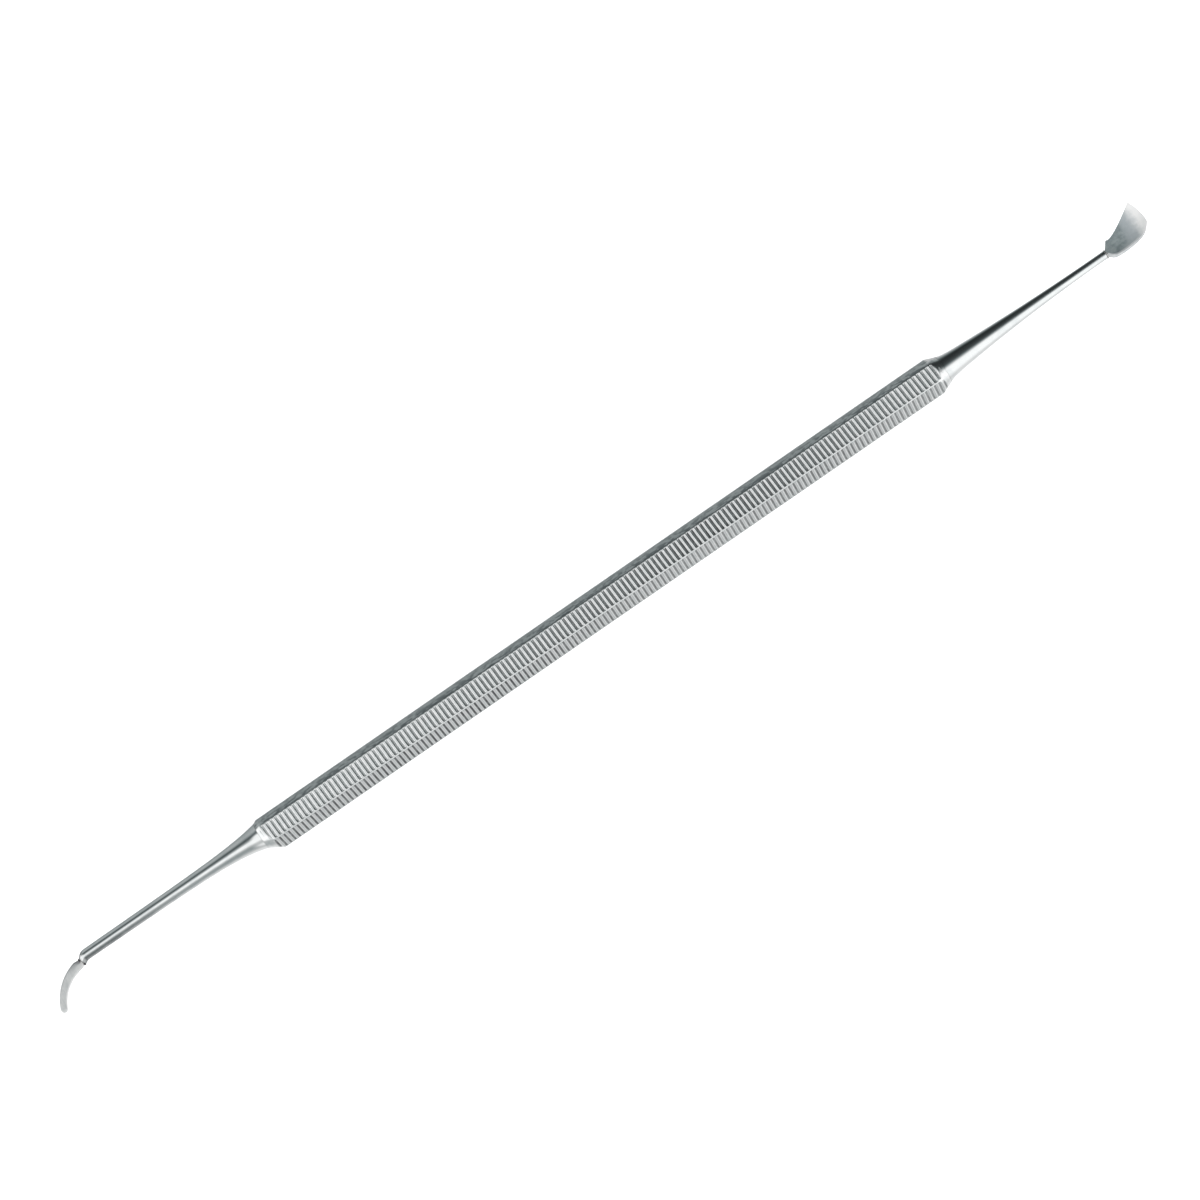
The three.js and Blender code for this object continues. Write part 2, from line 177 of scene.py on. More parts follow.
# A node tree. Its make method adds a node: settings first, then the values or wires of its sockets.
class Graph:
    def __init__(self, tree):
        self.tree = tree
        tree.nodes.clear()

    def make(self, kind, settings=None, sockets=None, out=0):
        node = self.tree.nodes.new(kind)
        for key, value in (settings or {}).items():
            if key == "stops":
                self.setStops(node.color_ramp, value)
            else:
                setattr(node, key, value)
        for key, value in (sockets or {}).items():
            if isinstance(value, Wire):
                self.tree.links.new(value.socket, node.inputs[key])
            else:
                node.inputs[key].default_value = value
        return Wire(self, node.outputs[out]) if len(node.outputs) else None

    def setStops(self, colourRamp, stops):
        while len(colourRamp.elements) < len(stops):
            colourRamp.elements.new(0.5)
        for element, (place, colour) in zip(colourRamp.elements, stops):
            element.position = place
            element.color = colour

    # Goes smoothly from bottom to top as a value goes from low to high
    def step(self, value, low, high, bottom=0.0, top=1.0):
        limits = {"Value": value, "From Min": low, "From Max": high, "To Min": bottom, "To Max": top}
        return self.make("ShaderNodeMapRange", {"interpolation_type": "SMOOTHSTEP"}, limits)

    def mix(self, amount, first, second, blend="MIX"):
        settings = {"data_type": "RGBA", "blend_type": blend}
        return self.make("ShaderNodeMix", settings, {0: amount, 6: first, 7: second}, out=2)

    # A value that the piece carries at each of its points
    def carried(self, name):
        return self.make("ShaderNodeAttribute", {"attribute_name": name}, out="Fac")

    # Noise over the piece, its scale in features per metre
    def grain(self, scale, detail=3.0, stretch=(1.0, 1.0, 1.0), roughness=0.55):
        place = self.make("ShaderNodeTexCoord", out="Object")
        turned = self.make("ShaderNodeMapping", {}, {"Vector": place, "Scale": stretch})
        sockets = {"Vector": turned, "Scale": scale, "Detail": detail, "Roughness": roughness}
        return self.make("ShaderNodeTexNoise", {}, sockets, out="Fac")


def newMaterial(name):
    material = bpy.data.materials.new(name)
    material.use_nodes = True
    return material, Graph(material.node_tree)


# The shader that each steel and the braze end in, with relief from a pattern of heights.
def metalSurface(graph, look, colour, gloss, heights, metallic=1.0):
    bump = {"Strength": look["relief"], "Distance": look["reliefDepth"], "Height": heights}
    relief = graph.make("ShaderNodeBump", {}, bump)
    surface = {"Base Color": colour, "Metallic": metallic, "Roughness": gloss, "Normal": relief}
    shader = graph.make("ShaderNodeBsdfPrincipled", {}, surface)
    graph.make("ShaderNodeOutputMaterial", {}, {"Surface": shader})


# Polished steel: faint clouds in its colour and gloss, and fine polishing lines along X in its relief.
# Painted shade darkens it in patches where the piece's carried shade value is near 1.
polish = {
    "colour": (0.80, 0.82, 0.82, 1.0),
    "clouded": (0.72, 0.75, 0.755, 1.0),
    "tarnish": (0.09, 0.10, 0.105, 1.0),
    "cloudScale": 420.0,  # per metre
    "cloudDetail": 4.0,
    "cloudRange": (0.4, 0.7),  # values of the noise over which the colour changes
    "shadeNoiseRange": (0.3, 0.6),
    "leastPaintedShade": 0.6,  # share of the painted shade that stays where the noise is low
    "lineScale": 2600.0,
    "lineStretch": (0.035, 1.0, 1.0),
    "glossRange": (0.35, 0.65),
    "roughness": (0.07, 0.15),
    "relief": 0.12,
    "reliefDepth": 4e-6,  # metres
}


def polishedSteel():
    material, graph = newMaterial("polishedSteel")
    clouds = graph.grain(polish["cloudScale"], polish["cloudDetail"])
    lines = graph.grain(polish["lineScale"], stretch=polish["lineStretch"])
    clean = graph.mix(graph.step(clouds, *polish["cloudRange"]), polish["colour"], polish["clouded"])
    patches = graph.step(clouds, *polish["shadeNoiseRange"], polish["leastPaintedShade"])
    colour = graph.mix(graph.carried("tarnish") * patches, clean, polish["tarnish"])
    gloss = graph.step((clouds + lines) / 2, *polish["glossRange"], *polish["roughness"])
    metalSurface(graph, polish, colour, gloss, lines)
    return material


# Ribbed steel: polished on the lands and dull down in the grooves, by the piece's "groove" value, with
# painted shade down in the grooves as its carried groove shade value says. The smooth flats have darker
# streaks of painted shade, by its carried shade value.
ribbing = {
    "land": (0.76, 0.785, 0.785, 1.0),
    "worn": (0.86, 0.87, 0.87, 1.0),
    # the next two colours are painted shade: one down in the grooves, one in streaks on the smooth flats
    "dirt": (0.11, 0.12, 0.125, 1.0),
    "tarnish": (0.24, 0.27, 0.28, 1.0),
    "cloudScale": 1500.0,
    "wornRange": (0.35, 0.7),
    "grooveShadeRange": (0.3, 0.6),
    "leastGrooveShade": 0.65,
    "streakScale": 1500.0,
    "streakDetail": 4.0,
    "streakStretch": (0.7, 1.0, 1.0),
    "streakRange": (0.43, 0.57),
    "lineScale": 3200.0,
    "lineStretch": (0.05, 1.0, 1.0),
    "lineGloss": 0.08,  # how much the polishing lines add to the roughness
    "dullRange": (0.15, 0.95),  # shares of a groove's depth over which it goes dull
    "landRoughness": 0.14,
    "grooveRoughness": 0.8,
    "relief": 0.15,
    "reliefDepth": 4e-6,  # metres
}


def ribbedSteel():
    material, graph = newMaterial("ribbedSteel")
    clouds = graph.grain(ribbing["cloudScale"])
    streaks = graph.grain(ribbing["streakScale"], ribbing["streakDetail"], ribbing["streakStretch"])
    lines = graph.grain(ribbing["lineScale"], stretch=ribbing["lineStretch"])
    land = graph.mix(graph.step(clouds, *ribbing["wornRange"]), ribbing["land"], ribbing["worn"])
    streaky = graph.carried("tarnish") * graph.step(streaks, *ribbing["streakRange"])
    streaked = graph.mix(streaky, land, ribbing["tarnish"])
    grooveShaded = graph.carried("dirt") * graph.step(clouds, *ribbing["grooveShadeRange"], ribbing["leastGrooveShade"])
    colour = graph.mix(grooveShaded, streaked, ribbing["dirt"])
    roughness = (ribbing["landRoughness"], ribbing["grooveRoughness"])
    dull = graph.step(graph.carried("groove"), *ribbing["dullRange"], *roughness)
    metalSurface(graph, ribbing, colour, dull + lines * ribbing["lineGloss"], lines)
    return material


# Ground steel: dull, with grinding lines across the blade. As the piece's carried painted light value goes
# from 0 to 1, its colour goes from a mottled base to the between colour, half way, and on to the lightest
# one: painted light, a highlight on the pick and a reflection on the scoop. Painted shade darkens it in
# patches where its carried shade value is near 1.
grinding = {
    "cloudNoise": {"detail": 5.0},
    "lineNoise": {"detail": 5.0, "roughness": 0.65},
    "cloudShare": 0.6,  # of the mottling: the grinding lines make the rest
    "mottleRange": (0.36, 0.64),
    "shadeNoiseRange": (0.35, 0.6),
    "leastPaintedShade": 0.5,
    "lineGloss": 0.16,
}


def groundSteel(name, look):
    material, graph = newMaterial(name)
    honed = graph.carried("honed")
    clouds = graph.grain(look["cloudScale"], **grinding["cloudNoise"])
    lines = graph.grain(look["lineScale"], stretch=look["lineStretch"], **grinding["lineNoise"])
    mottle = graph.step(lerp(lines, clouds, grinding["cloudShare"]), *grinding["mottleRange"])
    base = graph.mix(mottle, look["dark"], look["light"])
    # Painted light, patchy by the noise
    patches = honed + (clouds - 0.5) * look["patchiness"]
    between = graph.mix(graph.step(patches, 0.0, 0.5), base, look["between"])
    clean = graph.mix(graph.step(patches, 0.5, 1.0), between, look["honed"])
    paintedDark = graph.step(clouds, *grinding["shadeNoiseRange"], grinding["leastPaintedShade"])
    # Painted shade, in patches
    colour = graph.mix(graph.carried("tarnish") * paintedDark, clean, look["tarnish"])
    gloss = (lines - 0.5) * grinding["lineGloss"] + look["roughness"] - honed * look["smoothing"]
    metalSurface(graph, look, colour, gloss, lines, look["metallic"])
    return material


# Silver braze: soft ripples, and painted shade at the bead's sides where its carried shade value is near 1.
braze = {
    "colour": (0.78, 0.775, 0.76, 1.0),
    "clouded": (0.62, 0.62, 0.615, 1.0),
    "paintedSideShade": (0.07, 0.06, 0.07, 1.0),
    "rippleScale": 3500.0,
    "rippleRange": (0.42, 0.62),
    "rippleGloss": 0.2,
    "roughness": 0.28,
    "relief": 0.5,
    "reliefDepth": 2e-5,  # metres
}


def silverBraze():
    material, graph = newMaterial("silverBraze")
    ripples = graph.grain(braze["rippleScale"])
    clean = graph.mix(graph.step(ripples, *braze["rippleRange"]), braze["clouded"], braze["colour"])
    colour = graph.mix(graph.carried("tarnish"), clean, braze["paintedSideShade"])
    gloss = ripples * braze["rippleGloss"] + braze["roughness"]
    metalSurface(graph, braze, colour, gloss, ripples)
    return material


# The shanks, as the frame has them. Each is made along +X, and the pick's is then turned half round.
pickShank = {
    "jointDiameter": 3.75,
    "jointOffset": -0.4,
    "jointSlope": 31.0,  # of the handle's end, turned down to the joint
    "length": 26.9,
    "rootDiameter": 1.72,
    "tipDiameter": 1.49,
    "taperPower": 1.0,
    "shoulderFade": 3.8,
    "sideStep": -0.27,
    "sideStepFade": 4.0,
    "kneeAngle": 38.0,
    "faceAngle": 22.0,  # of the end's cut, which isn't square to the knee
    "kneeInsideRadius": 0.12,
    "kneeStraight": 0.5,
    "endDiameter": 1.15,
    "tang": (0.8, 0.5, 0.28),  # the hole for its blade: length, width, thickness
    "shadedStretch": (8.0, 25.0),  # from where to where painted shade darkens the side that the pick curves to
}
scoopShank = {
    "jointDiameter": 3.85,
    "jointOffset": 0.05,
    "jointSlope": 22.0,
    "length": 25.3,
    "rootDiameter": 3.32,
    "tipDiameter": 1.12,
    "taperPower": 2.0,
    "shoulderFade": 0.7,
    "sideStep": 0.4,
    "sideStepFade": 16.0,
    "kneeAngle": 0.0,
    "faceAngle": 0.0,
    "kneeInsideRadius": 0.12,
    "kneeStraight": 0.0,
    "endDiameter": 1.12,
    "tang": (3.0, 0.62, 0.42),
    "shadedStretch": (26.0, 29.0),  # past its end, so it gets no painted shade
}


# The handle: a hexagon with rounded corners, grooved across four flats, with turned ends and drilled bores.
handleLook = {
    "cornerRadius": 0.3,
    "cornerSteps": 7,
    "ribbedTurns": (0, 2, 3, 5),  # sixths of a turn from the top towards +Y
    "staggeredTurns": (2, 5),
    "shift": -0.06,  # along the handle, from its middle to the middle of the grooves
    "stagger": 0.27,  # further shift on the staggered flats
    "slant": 2.4,  # from square across the handle, on the other ribbed flats
    "cornerShift": (0.25, 0.75),  # shares of a corner over which one flat's shift turns into the next one's
    "pitch": 0.68,
    "grooveHalfWidth": 0.19,
    "grooveDepth": 0.12,
    "groovePower": 1.2,  # above 1, a groove narrows towards its bottom
    "grooveRunOut": 0.12,
    "edgeReach": 0.07,  # how far a groove's end runs into the rounded corner
    "endMargin": 0.25,
    "pitchSamples": (-0.19, -0.13, -0.06, 0.0, 0.06, 0.13, 0.19, 0.34),  # rows, from a groove's middle
    "ribbedSamples": (-1.0, -0.955, -0.5, 0.0, 0.5, 0.955, 1.0),  # columns, from edge to edge of a flat
    "smoothSamples": (-1.0, 0.0, 1.0),
    "endRows": 24,
    "grooveShadePlaces": (-46.0, -34.0, -15.0, 0.0, 15.0, 34.0, 46.0),
    "dirt": (0.0, 0.1, 0.45, 0.65, 1.0, 0.65, 0.3),  # how dark the painted shade in the grooves is there
    "staggeredGrooveShade": (0.78, 0.86, 0.86, 0.68, 0.53, 0.68, 0.52),  # and on the staggered flats
    "staggeredSpread": 0.12,  # power that widens the painted shade there
    "smoothFlatShade": (1.0, 0.2),  # painted shade, from one edge of a smooth flat to the other
}


# The section, as (towards +Y, up), with values at each of its points: the outward normal, the distance round
# from the middle of the flat, whether the flat is ribbed and whether staggered, the shift of its grooves
# along the handle, and the painted shade. A flat is a straight line square to its normal, and a corner an arc
# between two normals, whose halves belong to the two flats. The shift is the stagger, or else the distance
# times the tangent of the slant.
def handleSection():
    look = handleLook
    inner = axisHeight - look["cornerRadius"]
    half = inner * math.tan(sixth / 2)
    slope = math.tan(math.radians(look["slant"]))
    share = np.arange(1, look["cornerSteps"] + 1) / (look["cornerSteps"] + 1)
    parts = []
    for turn in range(6):
        following = (turn + 1) % 6
        ribbed, nextRibbed = [flat in look["ribbedTurns"] for flat in (turn, following)]
        staggered, nextStaggered = [flat in look["staggeredTurns"] for flat in (turn, following)]
        facing = turn * sixth
        normal = np.array([math.sin(facing), math.cos(facing)])
        along = np.array([math.cos(facing), -math.sin(facing)])
        flat = np.array(look["ribbedSamples"] if ribbed else look["smoothSamples"])
        shift = np.full(len(flat), look["stagger"]) if staggered else -slope * half * flat
        parts.append({
            "point": axisHeight * normal + (half * flat)[:, None] * along,
            "normal": np.tile(normal, (len(flat), 1)),
            "across": half * np.abs(flat),
            "ribbed": np.full(len(flat), float(ribbed)),
            "staggered": np.full(len(flat), float(staggered)),
            "shift": shift,
            "tarnish": np.zeros(len(flat)) if ribbed else lerp(*look["smoothFlatShade"], (flat + 1.0) / 2),
        })
        angle = facing + share * sixth
        arc = np.stack([np.sin(angle), np.cos(angle)], axis=-1)
        corner = np.array([math.sin(facing + sixth / 2), math.cos(facing + sixth / 2)])
        nextShift = look["stagger"] if nextStaggered else slope * half
        parts.append({
            "point": corner * inner / math.cos(sixth / 2) + look["cornerRadius"] * arc,
            "normal": arc,
            "across": half + look["cornerRadius"] * sixth * np.minimum(share, 1.0 - share),
            "ribbed": np.where(share < 0.5, float(ribbed), float(nextRibbed)),
            "staggered": np.where(share < 0.5, float(staggered), float(nextStaggered)),
            "shift": lerp(shift[-1], nextShift, rise(share, *look["cornerShift"])),
            "tarnish": np.zeros(len(share)),
        })
    return {key: np.concatenate([part[key] for part in parts]) for key in parts[0]}, half


# Places of the rows along the handle, and how deep in a groove each row is, from 0 to 1: a cosine across
# each groove, to a power.
def handleRows():
    look = handleLook
    halfCount = round((handleEnd - look["endMargin"] - look["grooveHalfWidth"]) / look["pitch"])
    middles = (np.arange(-halfCount, halfCount) + 0.5) * look["pitch"]
    ribEnd = middles[-1] + look["grooveHalfWidth"]
    rows = (middles[:, None] + np.array(look["pitchSamples"])).ravel()
    turned = np.linspace(ribEnd, handleEnd, look["endRows"])
    rows = np.concatenate([-turned[::-1], rows[np.abs(rows) < ribEnd], turned])
    fromMiddle = np.abs(rows / look["pitch"] % 1.0 - 0.5) * look["pitch"]
    wave = np.cos(np.minimum(fromMiddle / look["grooveHalfWidth"], 1.0) * math.pi / 2)
    inGroove = (fromMiddle < look["grooveHalfWidth"]) & (np.abs(rows) < ribEnd)
    return rows, np.where(inGroove, wave ** look["groovePower"], 0.0)


# Turns down the handle's ends: points outside the cone of an end are drawn in to it, towards the middle of
# the joint there. It also gives 1 for each point that no cone cuts, and 0 for the others.
def turnEnds(x, outline):
    uncut = np.ones(x.shape)
    for shank, side in ((pickShank, -1.0), (scoopShank, 1.0)):
        middle = np.array([side * shank["jointOffset"], 0.0])
        slope = math.tan(math.radians(shank["jointSlope"]))
        cone = shank["jointDiameter"] / 2 + (handleEnd - side * x) * slope
        spokes = outline - middle
        kept = np.minimum(1.0, cone / np.linalg.norm(spokes, axis=-1))
        outline = middle + spokes * kept[..., None]
        uncut *= kept == 1.0
    return outline, uncut


# The handle's skin goes from the bottom of one bore out to its mouth, along the outside, and into the other
# bore. A groove's depth is its row's, times a fade towards the groove's two ends.
def buildHandle(material):
    look = handleLook
    section, half = handleSection()
    rows, wave = handleRows()
    reach = half + look["edgeReach"]
    fade = rise(section["across"], reach, reach - look["grooveRunOut"]) * section["ribbed"]
    depth = wave[:, None] * fade
    squareEnd = np.minimum(1.0, (handleEnd - np.abs(rows)) / look["endMargin"])[:, None]
    x = rows[:, None] + (look["shift"] + section["shift"]) * squareEnd
    outline = section["point"] - (look["grooveDepth"] * depth)[..., None] * section["normal"]
    outline, uncut = turnEnds(x, outline)
    depth = depth * uncut
    outside = np.concatenate([x[..., None], outline], axis=-1)
    angle = np.arctan2(outline[0, :, 0], outline[0, :, 1])
    bore = fits["tangRadius"] + fits["clearance"]
    bottom = handleEnd - fits["tangLength"] - fits["endRoom"]
    pickBore = [circle(place, bore, angle) for place in (-bottom, -handleEnd)]
    scoopBore = [circle(place, bore, angle) for place in (handleEnd, bottom)]
    rings = np.concatenate([pickBore, outside, scoopBore])
    rings[..., 2] += axisHeight
    # Painted shade down in the grooves, by depth and by place along the handle, spread wider on the staggered
    # flats
    ordinary = np.interp(rows, look["grooveShadePlaces"], look["dirt"])[:, None] * depth
    wider = np.interp(rows, look["grooveShadePlaces"], look["staggeredGrooveShade"])[:, None]
    dirt = lerp(ordinary, wider * depth ** look["staggeredSpread"], section["staggered"])
    bores = ((len(pickBore), len(scoopBore)), (0, 0))
    values = {
        "groove": np.pad(depth, bores),
        "dirt": np.pad(dirt, bores),
        "tarnish": np.tile(section["tarnish"], (len(rings), 1)),
    }
    piece = skin("handle_body", rings, attributes=values)
    dress(piece, material, "handle")


shankMesh = {"columns": 72, "rows": 110, "kneeRows": 28, "endRounding": 0.08, "endRows": 5}

# Where painted shade darkens one side of a shank, and the other side at its knee. Sides are given as sines of
# the angle round from the top towards +Y.
shankShade = {
    "darkest": 0.62,
    "side": (0.1, 0.6),
    "kneeLength": 0.45,  # from where the knee starts to bend to where it is darkest
    "kneeSide": (-0.45, -0.783),
}


def kneeRadius(shank):
    return shank["kneeInsideRadius"] + shank["tipDiameter"] / 2


def kneeLength(shank):
    return kneeRadius(shank) * math.radians(shank["kneeAngle"]) + shank["kneeStraight"]


# The middle line at a distance from the handle, and which way the section faces: straight, then an arc,
# then straight, and eased to one side. The facing grows with the bend, as far as the face angle.
def shankLine(shank, s):
    radius = kneeRadius(shank)
    past = np.maximum(s - shank["length"], 0.0)
    bend = np.minimum(past / radius, math.radians(shank["kneeAngle"]))
    beyond = past - radius * bend
    side = shank["jointOffset"] + shank["sideStep"] * (1.0 - np.exp(-s / shank["sideStepFade"]))
    x = fits["seatGap"] + np.minimum(s, shank["length"]) + radius * np.sin(bend) + beyond * np.cos(bend)
    y = side + radius * (1.0 - np.cos(bend)) + beyond * np.sin(bend)
    return x, y, bend * shank["faceAngle"] / max(shank["kneeAngle"], 1.0)


# The radius there: a taper, plus a shoulder that dies away, less a narrowing through the knee.
def shankRadius(shank, s):
    left = np.maximum(1.0 - s / shank["length"], 0.0) ** shank["taperPower"]
    taper = lerp(shank["tipDiameter"], shank["rootDiameter"], left)
    shoulder = (shank["jointDiameter"] - shank["rootDiameter"]) * np.exp(-s / shank["shoulderFade"])
    knee = kneeLength(shank)
    lost = shank["tipDiameter"] - shank["endDiameter"]
    narrowing = rise(s, shank["length"], shank["length"] + knee) * lost if knee else 0.0
    return (taper + shoulder - narrowing) / 2


# Lays flat rings along a middle line: each is turned the way that the line faces and moved to its point.
def layAlong(rings, x, y, facing):
    side = rings[..., 1]
    turnX = x + rings[..., 0] * np.cos(facing) - side * np.sin(facing)
    turnY = y + rings[..., 0] * np.sin(facing) + side * np.cos(facing)
    return np.stack([turnX, turnY, rings[..., 2]], axis=-1)


# Puts rings made along +X from the end of the handle in their place: turned half round at the pick's end.
def atHandleEnd(rings, side):
    placed = rings.copy()
    placed[..., :2] *= side
    placed[..., 0] += side * handleEnd
    placed[..., 2] += axisHeight
    return placed


# Puts rings made round a blade's root in their place, at the end of its shank.
def atShankEnd(rings, shank, side):
    end = shankLine(shank, np.array(shank["length"] + kneeLength(shank)))
    return atHandleEnd(layAlong(rings, *end), side)


# Distances along a shank for its rows, with the radius at each: closer together towards the handle, and
# over the end's edge a quarter circle.
def shankRows(shank):
    total = shank["length"] + kneeLength(shank)
    rounding = shankMesh["endRounding"]
    straight = shank["length"] * np.linspace(0.0, 1.0, shankMesh["rows"]) ** 2
    bent = np.linspace(shank["length"], total - rounding, shankMesh["kneeRows"])[1:]
    if not kneeLength(shank):
        straight = straight[straight < total - rounding]
        bent = np.array([total - rounding])
    turn = np.linspace(0.0, math.pi / 2, shankMesh["endRows"])[1:]
    places = np.concatenate([straight, bent, total - rounding + rounding * np.sin(turn)])
    radii = shankRadius(shank, places)
    radii[-len(turn):] -= rounding * (1.0 - np.cos(turn))
    return places, radii


# A shank's skin: round its tang, out over the shoulder, along to the rounded end, and into the blade's hole.
def buildShank(name, shank, side, material, node):
    angle = aroundRing(shankMesh["columns"])
    tang = [
        circle(-fits["tangLength"], fits["tangRadius"] - fits["tangChamfer"], angle),
        circle(fits["tangChamfer"] - fits["tangLength"], fits["tangRadius"], angle),
        circle(fits["seatGap"], fits["tangRadius"], angle),
    ]
    places, radii = shankRows(shank)
    line = [values[:, None] for values in shankLine(shank, places)]
    body = layAlong(np.stack([circle(0.0, radius, angle) for radius in radii]), *line)
    length, width, thickness = shank["tang"]
    grown = 2 * fits["clearance"]
    depths = (0.0, -length - fits["endRoom"])
    hole = [rectangle(depth, width + grown, thickness + grown, len(angle)) for depth in depths]
    total = shank["length"] + kneeLength(shank)
    hole = layAlong(np.stack(hole), *shankLine(shank, np.array(total)))
    toSide = np.sin(angle)
    # Painted shade along one side of the shank, and on the other side at the knee
    along = shankShade["darkest"] * rise(places, *shank["shadedStretch"])[:, None]
    tarnish = along * rise(toSide, *shankShade["side"])
    if shank["kneeAngle"]:
        knee = rise(places, shank["length"], shank["length"] + shankShade["kneeLength"])[:, None]
        tarnish = np.maximum(tarnish, knee * rise(toSide, *shankShade["kneeSide"]))
    values = {"tarnish": np.pad(tarnish, ((len(tang), len(hole)), (0, 0)))}
    piece = skin(name, atHandleEnd(np.concatenate([tang, body, hole]), side), attributes=values)
    dress(piece, material, node)


# The pick: a strip on an arc, its angles measured from the handle's line
pickLook = {
    "rootAngle": 4.0,
    "tipAngle": 68.0,
    "arcRadius": 5.96,
    "rootWidth": 0.95,
    "shoulderWidth": 1.3,
    "shoulderAngle": 8.0,  # turn of the arc from the root to where it is widest
    "tipWidth": 0.92,
    "tipThinning": 0.45,  # share of the thickness lost at the end of the tip
    "thickness": 0.45,
    "edgeRounding": 0.1,
    "beadHeight": 0.2,
    "columns": 48,
    "rows": 90,
    "tipRows": 16,
}
# The two lightest colours of the pick make a painted highlight, and its darkest one painted shade
pickFinish = {
    "dark": (0.74, 0.76, 0.76, 1.0),
    "light": (0.88, 0.89, 0.885, 1.0),
    "between": (0.90, 0.91, 0.905, 1.0),
    "honed": (0.94, 0.945, 0.94, 1.0),
    "patchiness": 0.0,
    "tarnish": (0.12, 0.115, 0.13, 1.0),
    "cloudScale": 900.0,
    "lineScale": 5200.0,
    "lineStretch": (1.0, 0.12, 1.0),
    "metallic": 1.0,
    "roughness": 0.60,
    "smoothing": 0.0,
    "relief": 0.35,
    "reliefDepth": 5e-6,  # metres
}

# Where the pick is painted lighter, as a highlight, and where darker, as painted shade. Roots are given as
# shares of the length, and edges and sides as places across, from -1 at the inner edge to 1 at the outer one.
pickShades = {
    "paintedLightEdge": (0.8, 1.0),
    "paintedLightRoot": (0.35, 0.0),
    "paintedLightSide": (0.5, -0.5),
    "shadedRoot": (0.4, 0.0),
    "shadedSide": (-0.6, 1.0),
    "shadeRange": (0.12, 0.57),
    "rootShade": 2.2,
    "rootShadeFade": 0.33,  # distance from the root over which the painted shade there dies away
    "rootShadeSide": (-0.1, 0.3),
}


# A strip's section at each row, as (side, up), its points at equal angles: a superellipse, whose power grows
# as its corners get sharper.
def roundedSection(width, thickness, rounding, columns):
    angle = aroundRing(columns) + math.pi / columns
    side, up = np.sin(angle), np.cos(angle)
    halfWidth, halfThickness = width[:, None] / 2, thickness[:, None] / 2
    power = 2.0 / np.clip(rounding / halfThickness, 0.05, 1.0)
    reach = (np.abs(side / halfWidth) ** power + np.abs(up / halfThickness) ** power) ** (-1.0 / power)
    return reach * side, reach * up


# The pick's width at a share of its length: eased out to the shoulder, then falling evenly to the tip.
def pickWidth(share):
    look = pickLook
    widest = look["shoulderAngle"] / (look["tipAngle"] - look["rootAngle"])
    before = lerp(look["rootWidth"], look["shoulderWidth"], rise(share, 0.0, widest))
    after = lerp(look["shoulderWidth"], look["tipWidth"], (share - widest) / (1.0 - widest))
    return np.where(share < widest, before, after)


# The pick's painted highlight, on its edges and at the root's inner side, and its painted shade, mostly
# towards the outer side near the root. The shade right at the root dies away exponentially from it.
def pickShading(share, fromRoot, outward):
    shades = pickShades
    honed = ramp(np.abs(outward), *shades["paintedLightEdge"])
    honed = honed + rise(share, *shades["paintedLightRoot"]) * rise(outward, *shades["paintedLightSide"])
    paintedDark = rise(share, *shades["shadedRoot"]) * lerp(*shades["shadeRange"], rise(outward, *shades["shadedSide"]))
    rootShade = shades["rootShade"] * np.exp(-fromRoot / shades["rootShadeFade"])
    rootShaded = rootShade * rise(outward, *shades["rootShadeSide"])
    return np.clip(honed, 0.0, 1.0), np.clip(paintedDark + rootShaded, 0.0, 1.0)


# The pick's points: a place along the arc for each row, from the shank's end to the tip, where the width
# shrinks as a half circle does. Each point lies its own side step away from the arc, square to it.
def buildPick(material):
    look = pickLook
    columns = look["columns"]
    start = math.radians(look["rootAngle"] - pickShank["faceAngle"])
    finish = math.radians(look["tipAngle"] - pickShank["faceAngle"])
    arc = look["arcRadius"] * (finish - start)
    turn = np.linspace(0.0, math.pi / 2, look["tipRows"])[1:-1]
    tip = 1.0 + look["tipWidth"] / 2 / arc * np.sin(turn)
    places = np.concatenate([np.linspace(0.0, 1.0, look["rows"]), tip])
    share = np.clip(places, 0.0, 1.0)
    shrink = np.concatenate([np.ones(look["rows"]), np.cos(turn)])
    width = pickWidth(share) * shrink
    thickness = look["thickness"] * (1.0 - look["tipThinning"] * (1.0 - shrink))
    side, up = roundedSection(width, thickness, look["edgeRounding"], columns)
    cross = fits["seatGap"] + look["beadHeight"] / 2
    rootPlace = (fits["seatGap"] - cross + side * math.sin(start)) / (math.cos(start) * arc)
    place = np.where(places[:, None] <= 1.0, lerp(rootPlace, 1.0, places[:, None]), places[:, None])
    angle = lerp(start, finish, np.minimum(place, 1.0))
    beyond = arc * np.maximum(place - 1.0, 0.0)
    x = cross + look["arcRadius"] * (np.sin(angle) - math.sin(start)) + beyond * np.cos(angle)
    y = look["arcRadius"] * (math.cos(start) - np.cos(angle)) + beyond * np.sin(angle)
    strip = np.stack([x - side * np.sin(angle), y + side * np.cos(angle), up], axis=-1)
    length, tangWidth, tangThickness = pickShank["tang"]
    tang = [rectangle(at, tangWidth, tangThickness, columns) for at in (-length, fits["seatGap"])]
    outward = -side / (width[:, None] / 2)
    # Painted highlight and painted shade on the pick
    honed, tarnish = pickShading(share[:, None], share[:, None] * arc, outward)
    onTang = ((len(tang), 0), (0, 0))
    values = {"honed": np.pad(honed, onTang), "tarnish": np.pad(tarnish, onTang)}
    placed = atShankEnd(np.concatenate([tang, strip]), pickShank, -1.0)
    piece = skin("pick_strip", np.clip(placed, *boxOf("pick_blade")), attributes=values)
    dress(piece, material, "pick_blade")


